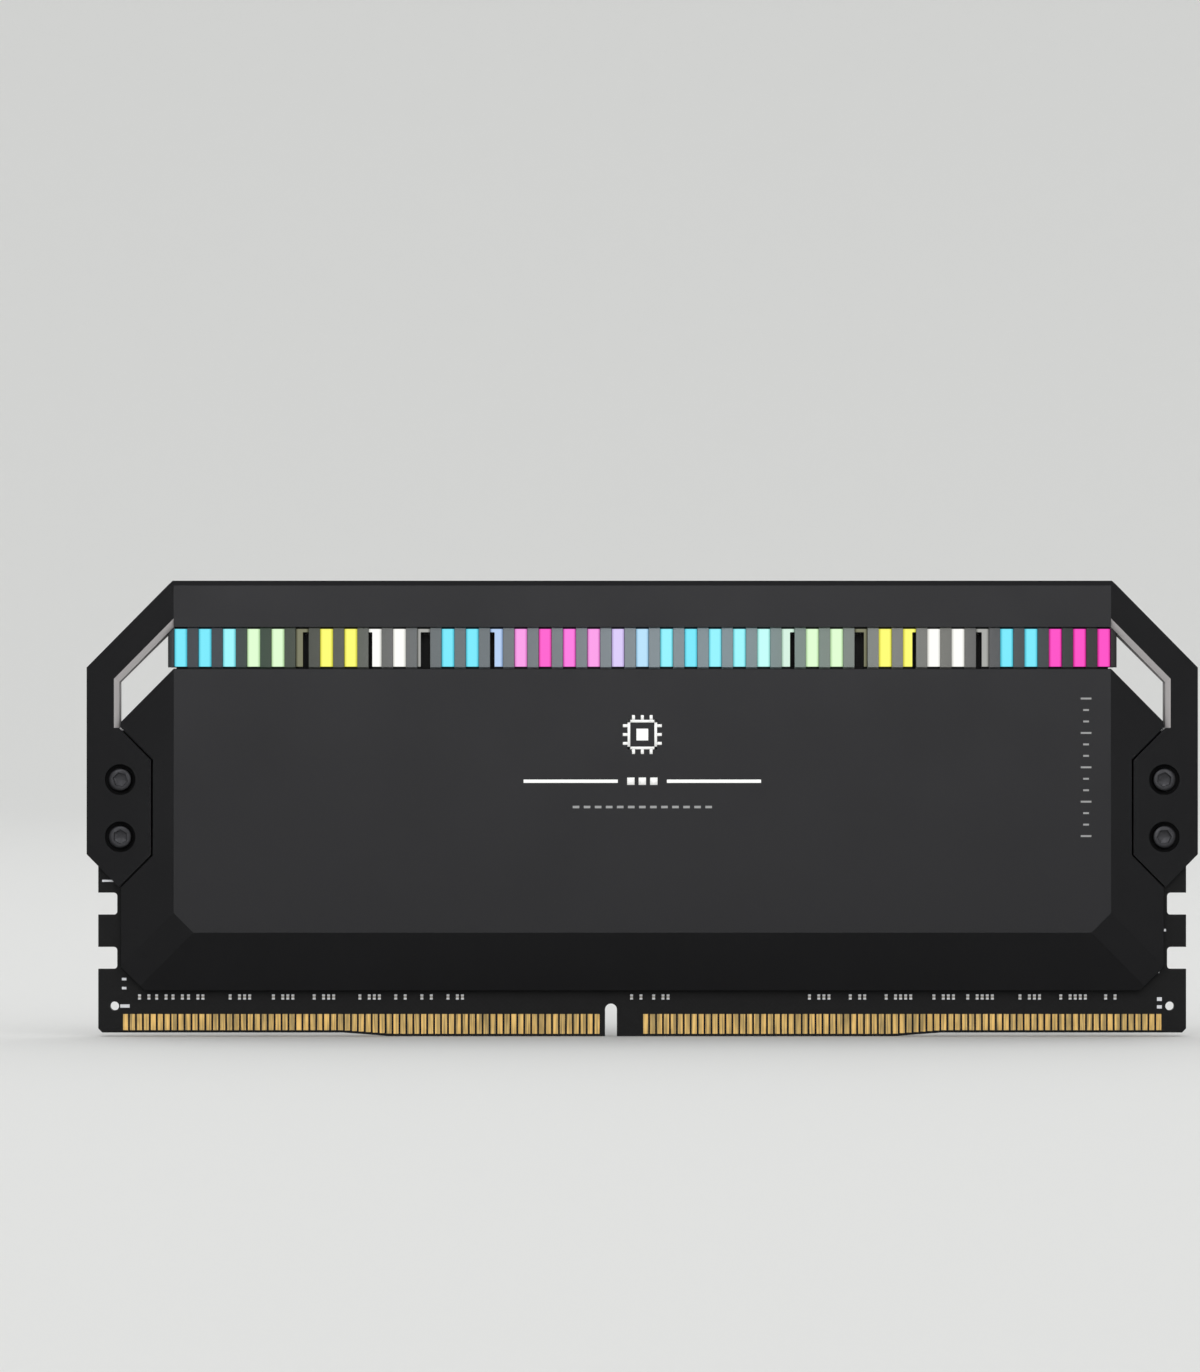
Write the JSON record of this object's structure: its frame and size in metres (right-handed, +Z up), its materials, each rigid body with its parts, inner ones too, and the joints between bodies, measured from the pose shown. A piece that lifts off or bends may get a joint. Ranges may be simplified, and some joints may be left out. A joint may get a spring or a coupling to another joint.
{
  "type": "ram module",
  "caption": "Desktop memory module: a card with edge contacts between two faceted aluminium heat spreaders, under a clamped top bar and a lit ribbed strip.",
  "frame": {"origin": "the lowest line of the contact edge, midway along the card and midway through its thickness", "axes": "+X along the card towards the right as seen from the front, -Y out of the front face, +Z up from the contact edge to the top bar"},
  "size_m": [0.136, 0.008, 0.0558],
  "materials": {
    "anodised_aluminium": "satin black anodised, fine blasted",
    "bright_edge": "diamond-cut bare aluminium",
    "solder_mask": "black solder mask on glass-fibre laminate",
    "gold_contacts": "gold-plated contacts",
    "fin_plastic": "gloss black moulded fins",
    "light_diffuser": "milky diffuser, lit from inside",
    "printed_mark": "pad-printed ink",
    "screw_steel": "black oxide",
    "barrel_brass": "turned",
    "chip_package": "moulded epoxy",
    "thermal_pad": "soft silicone",
    "ferrite": "moulded ferrite",
    "led_package": "white moulded package"
  },
  "bodies": {
    "root": {"circuit_board": "solder_mask", "top_bar": "anodised_aluminium", "front_spreader": "anodised_aluminium", "rear_spreader": "anodised_aluminium", "front_fin_strip": "fin_plastic", "rear_fin_strip": "fin_plastic", "light_bar": "light_diffuser", "power_controller": "chip_package", "serial_hub": "chip_package", "light_controller": "chip_package", "front_thermal_pad_left": "thermal_pad", "front_thermal_pad_right": "thermal_pad", "rear_thermal_pad_left": "thermal_pad", "rear_thermal_pad_right": "thermal_pad", "power_thermal_pad": "thermal_pad", "dram_chip_left_1": "chip_package", "dram_chip_left_2": "chip_package", "dram_chip_left_3": "chip_package", "dram_chip_left_4": "chip_package", "screw_front_left_upper": "screw_steel", "screw_rear_left_upper": "screw_steel", "threaded_barrel_left_upper": "barrel_brass", "screw_front_left_lower": "screw_steel", "screw_rear_left_lower": "screw_steel", "threaded_barrel_left_lower": "barrel_brass", "dram_chip_right_1": "chip_package", "dram_chip_right_2": "chip_package", "dram_chip_right_3": "chip_package", "dram_chip_right_4": "chip_package", "screw_front_right_upper": "screw_steel", "screw_rear_right_upper": "screw_steel", "threaded_barrel_right_upper": "barrel_brass", "screw_front_right_lower": "screw_steel", "screw_rear_right_lower": "screw_steel", "threaded_barrel_right_lower": "barrel_brass", "inductor_1": "ferrite", "inductor_2": "ferrite", "inductor_3": "ferrite", "led_1": "led_package", "led_2": "led_package", "led_3": "led_package", "led_4": "led_package", "led_5": "led_package", "led_6": "led_package", "led_7": "led_package", "led_8": "led_package", "led_9": "led_package", "led_10": "led_package", "led_11": "led_package", "led_12": "led_package"}
  },
  "joints": []
}
